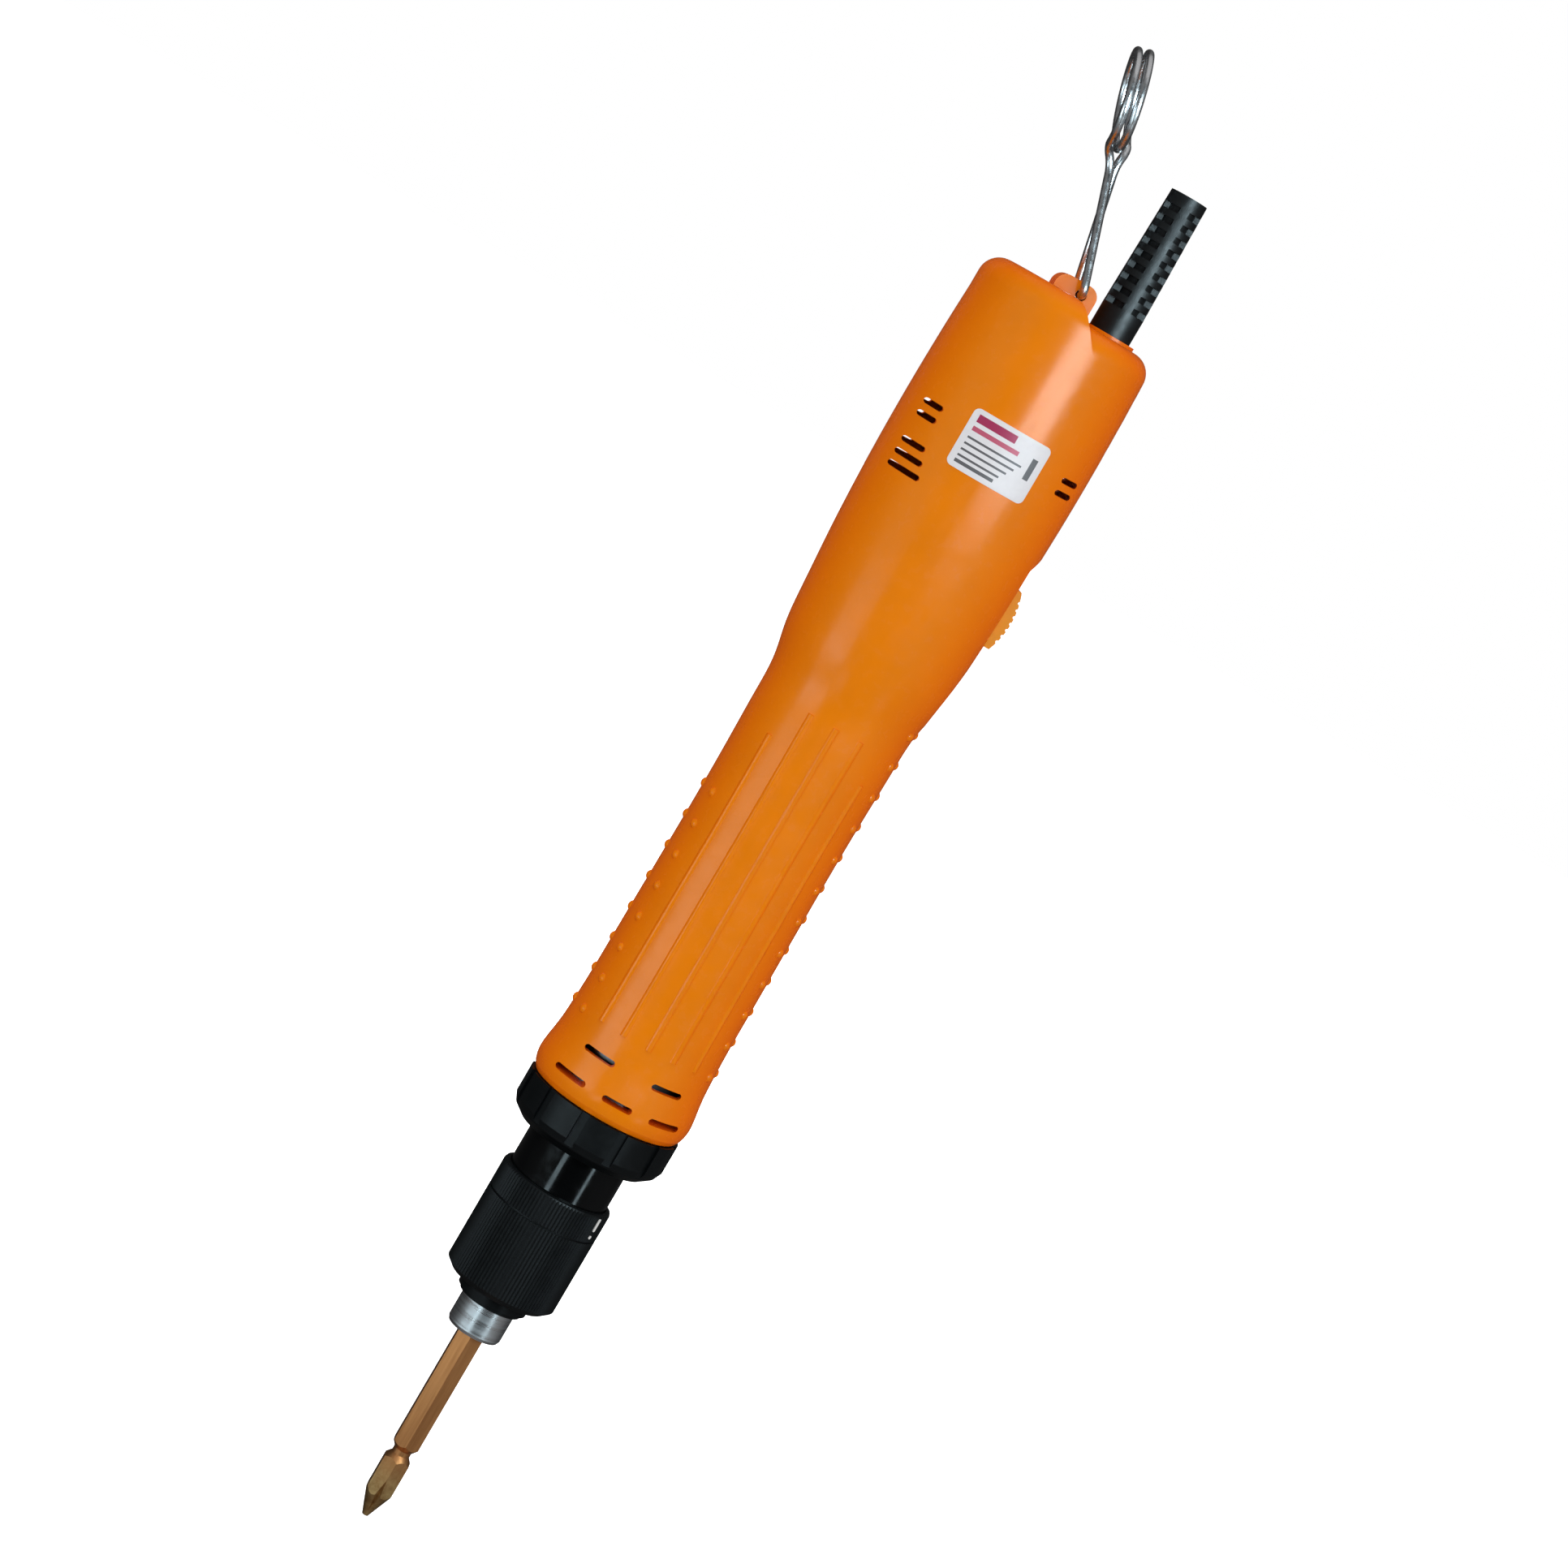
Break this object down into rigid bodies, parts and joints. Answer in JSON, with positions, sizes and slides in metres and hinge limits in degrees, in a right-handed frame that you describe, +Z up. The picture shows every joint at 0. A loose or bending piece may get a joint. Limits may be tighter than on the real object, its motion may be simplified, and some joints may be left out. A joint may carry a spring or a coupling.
{
  "type": "inline electric screwdriver",
  "caption": "Slim inline electric screwdriver with push-to-start spindle, quick-release bit chuck, torque knob, vented grip, direction switch, strain-relief boot and hanging bail.",
  "frame": {"origin": "centre of the bit's lower tip", "axes": "+Z up the tool's axis from the bit to the bail, +X towards the direction switch and the boot, the casing parts on Y = 0 with its front half at -Y"},
  "size_m": [0.0479, 0.0471, 0.3887],
  "materials": {
    "casing_orange": "satin",
    "slide_orange": "satin",
    "knob_black": "satin",
    "nut_black": "gloss",
    "boot_rubber": "satin",
    "bit_bronze": "satin",
    "sleeve_steel": "polished",
    "bail_steel": "polished",
    "spring_steel": "satin",
    "ball_steel": "polished",
    "gear_steel": "satin",
    "bush_bronze": "satin",
    "motor_steel": "satin",
    "plate_aluminium": "satin",
    "magnet_ferrite": "matte",
    "core_steel": "satin",
    "copper": "satin",
    "carbon": "matte",
    "inner_black": "satin",
    "board_green": "satin",
    "lead_red": "satin",
    "screw_steel": "satin",
    "label_white": "satin"
  },
  "bodies": {
    "casing": {"casing_front_half": "casing_orange", "casing_rear_half": "casing_orange", "casing_screws": "screw_steel", "rating_plate": "label_white", "ring_nut": "nut_black", "gear_case": "nut_black", "front_bush": "nut_black", "spindle_bearing": "bush_bronze", "ring_gear": "gear_steel", "clutch_balls": "ball_steel", "pressure_washer": "gear_steel", "clutch_spring": "spring_steel", "motor_can": "motor_steel", "motor_magnets": "magnet_ferrite", "motor_front_plate": "plate_aluminium", "motor_rear_cap": "inner_black", "carbon_brushes": "carbon", "bearing_outer_races": "ball_steel", "bearing_balls": "ball_steel", "circuit_board": "board_green", "board_components": "inner_black", "start_switch": "inner_black", "start_spring": "spring_steel", "direction_switch_body": "inner_black", "motor_leads": "lead_red", "strain_relief_boot": "boot_rubber", "cord_clamp": "inner_black", "clamp_screws": "screw_steel"},
    "rotor": {"rotor_shaft": "gear_steel", "armature_core": "core_steel", "armature_windings": "copper", "commutator": "copper", "cooling_fan": "inner_black", "bearing_inner_races": "ball_steel"},
    "input_carrier": {"input_carrier": "gear_steel"},
    "output_carrier": {"output_carrier": "gear_steel"},
    "start_rod": {"push_rod": "gear_steel"},
    "spindle": {"spindle": "sleeve_steel", "bit": "bit_bronze", "chuck_balls": "ball_steel", "chuck_clip": "sleeve_steel", "sleeve_spring": "spring_steel"},
    "chuck_sleeve": {"chuck_sleeve": "sleeve_steel"},
    "torque_slider": {"thrust_washer": "gear_steel"},
    "torque_knob": {"torque_knob": "knob_black", "torque_scale_ring": "knob_black"},
    "direction_slide": {"direction_slide": "slide_orange"},
    "bail": {"suspension_bail": "bail_steel"},
    "input_planet_a": {"input_planet_a": "gear_steel"},
    "input_planet_b": {"input_planet_b": "gear_steel"},
    "input_planet_c": {"input_planet_c": "gear_steel"},
    "output_planet_a": {"output_planet_a": "gear_steel"},
    "output_planet_b": {"output_planet_b": "gear_steel"},
    "output_planet_c": {"output_planet_c": "gear_steel"}
  },
  "joints": [
    {"name": "rotor_spin", "type": "hinge", "parent": "casing", "child": "rotor", "pos_m": [0, 0, 0.15], "axis": [0, 0, 1], "continuous": true},
    {"name": "input_carrier_spin", "type": "hinge", "parent": "casing", "child": "input_carrier", "pos_m": [0, 0, 0.1034], "axis": [0, 0, 1], "continuous": true},
    {"name": "output_carrier_spin", "type": "hinge", "parent": "casing", "child": "output_carrier", "pos_m": [0, 0, 0.0963], "axis": [0, 0, 1], "continuous": true},
    {"name": "input_planet_a_spin", "type": "hinge", "parent": "input_carrier", "child": "input_planet_a", "pos_m": [0.006, 0, 0.1069], "axis": [0, 0, 1], "continuous": true},
    {"name": "input_planet_b_spin", "type": "hinge", "parent": "input_carrier", "child": "input_planet_b", "pos_m": [-0.003, 0.00519, 0.1069], "axis": [0, 0, 1], "continuous": true},
    {"name": "input_planet_c_spin", "type": "hinge", "parent": "input_carrier", "child": "input_planet_c", "pos_m": [-0.003, -0.00519, 0.1069], "axis": [0, 0, 1], "continuous": true},
    {"name": "output_planet_a_spin", "type": "hinge", "parent": "output_carrier", "child": "output_planet_a", "pos_m": [0.006, 0, 0.0998], "axis": [0, 0, 1], "continuous": true},
    {"name": "output_planet_b_spin", "type": "hinge", "parent": "output_carrier", "child": "output_planet_b", "pos_m": [-0.003, 0.00519, 0.0998], "axis": [0, 0, 1], "continuous": true},
    {"name": "output_planet_c_spin", "type": "hinge", "parent": "output_carrier", "child": "output_planet_c", "pos_m": [-0.003, -0.00519, 0.0998], "axis": [0, 0, 1], "continuous": true},
    {"name": "start_push", "type": "slide", "parent": "casing", "child": "start_rod", "axis": [0, 0, 1], "range_m": [0, 0.0025], "stiffness_N_per_m": 1200, "springref_m": -0.003, "deforming": ["start_spring"]},
    {"name": "spindle_spin", "type": "hinge", "parent": "start_rod", "child": "spindle", "pos_m": [0, 0, 0.07], "axis": [0, 0, 1], "continuous": true},
    {"name": "sleeve_pull", "type": "slide", "parent": "spindle", "child": "chuck_sleeve", "axis": [0, 0, -1], "range_m": [0, 0.0035], "stiffness_N_per_m": 900, "springref_m": -0.002, "deforming": ["sleeve_spring"]},
    {"name": "torque_climb", "type": "slide", "parent": "casing", "child": "torque_slider", "axis": [0, 0, 1], "range_m": [0, 0.005], "deforming": ["clutch_spring"]},
    {"name": "torque_turn", "type": "hinge", "parent": "torque_slider", "child": "torque_knob", "pos_m": [0, 0, 0.074], "axis": [0, 0, 1], "range_deg": [0, 1440]},
    {"name": "direction_shift", "type": "slide", "parent": "casing", "child": "direction_slide", "axis": [0, 0, 1], "range_m": [-0.003, 0.003]},
    {"name": "bail_swing", "type": "hinge", "parent": "casing", "child": "bail", "pos_m": [-0.0003, 0, 0.3333], "axis": [0, -1, 0], "range_deg": [-18, 65]}
  ],
  "couplings": [
    {"joint": "input_carrier_spin", "follows": "rotor_spin", "ratio": 0.25},
    {"joint": "output_carrier_spin", "follows": "rotor_spin", "ratio": 0.0625},
    {"joint": "input_planet_a_spin", "follows": "rotor_spin", "ratio": -0.75},
    {"joint": "input_planet_b_spin", "follows": "rotor_spin", "ratio": -0.75},
    {"joint": "input_planet_c_spin", "follows": "rotor_spin", "ratio": -0.75},
    {"joint": "output_planet_a_spin", "follows": "rotor_spin", "ratio": -0.1875},
    {"joint": "output_planet_b_spin", "follows": "rotor_spin", "ratio": -0.1875},
    {"joint": "output_planet_c_spin", "follows": "rotor_spin", "ratio": -0.1875},
    {"joint": "spindle_spin", "follows": "rotor_spin", "ratio": 0.0625},
    {"joint": "torque_turn", "follows": "torque_climb", "rad_per_m": 5026.5}
  ]
}
